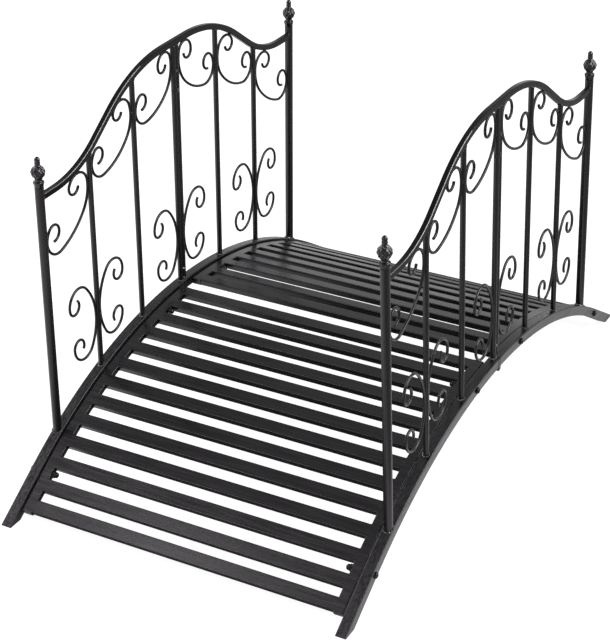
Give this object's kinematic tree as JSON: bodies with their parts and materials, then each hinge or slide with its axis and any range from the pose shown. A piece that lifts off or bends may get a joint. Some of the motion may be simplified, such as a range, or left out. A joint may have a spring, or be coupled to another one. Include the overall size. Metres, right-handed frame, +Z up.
{
  "type": "metal garden bridge",
  "caption": "Arched black metal footbridge for a garden, with a slatted deck, leaning railings with curled scrollwork under wavy handrails, and end posts topped with scaled ball finials",
  "frame": {"origin": "On the ground under the middle of the bridge: halfway between the four feet, at the level they stand on.", "axes": "+Z up; Y runs along the bridge, -Y towards the near end; +X to the right when looking along +Y."},
  "size_m": [0.696, 1.224, 0.72],
  "materials": {
    "frame_black": "satin black powder coat on square steel tube",
    "railing_black": "satin black powder coat on round steel tube",
    "casting_black": "satin black powder coat on castings",
    "scroll_black": "satin black powder coat on bent steel rod",
    "deck_black": "satin black powder coat on flat steel tube, faintly worn"
  },
  "bodies": {
    "root": {"left_near_stringer": "frame_black", "left_near_end_post": "railing_black", "left_near_post_finial": "casting_black", "left_near_handrail": "railing_black", "left_near_outer_baluster_with_scrolls": "railing_black", "left_near_inner_baluster": "railing_black", "left_near_centre_baluster_with_scroll": "railing_black", "left_near_outer_upper_scroll": "scroll_black", "left_near_middle_upper_scroll": "scroll_black", "left_near_inner_upper_scroll": "scroll_black", "left_far_stringer": "frame_black", "left_far_end_post": "railing_black", "left_far_post_finial": "casting_black", "left_far_handrail": "railing_black", "left_far_outer_baluster_with_scrolls": "railing_black", "left_far_inner_baluster": "railing_black", "left_far_centre_baluster_with_scroll": "railing_black", "left_far_outer_upper_scroll": "scroll_black", "left_far_middle_upper_scroll": "scroll_black", "left_far_inner_upper_scroll": "scroll_black", "right_near_stringer": "frame_black", "right_near_end_post": "railing_black", "right_near_post_finial": "casting_black", "right_near_handrail": "railing_black", "right_near_outer_baluster_with_scrolls": "railing_black", "right_near_inner_baluster": "railing_black", "right_near_centre_baluster_with_scroll": "railing_black", "right_near_outer_upper_scroll": "scroll_black", "right_near_middle_upper_scroll": "scroll_black", "right_near_inner_upper_scroll": "scroll_black", "right_far_stringer": "frame_black", "right_far_end_post": "railing_black", "right_far_post_finial": "casting_black", "right_far_handrail": "railing_black", "right_far_outer_baluster_with_scrolls": "railing_black", "right_far_inner_baluster": "railing_black", "right_far_centre_baluster_with_scroll": "railing_black", "right_far_outer_upper_scroll": "scroll_black", "right_far_middle_upper_scroll": "scroll_black", "right_far_inner_upper_scroll": "scroll_black", "near_deck_panel": "deck_black", "far_deck_panel": "deck_black"}
  },
  "joints": []
}
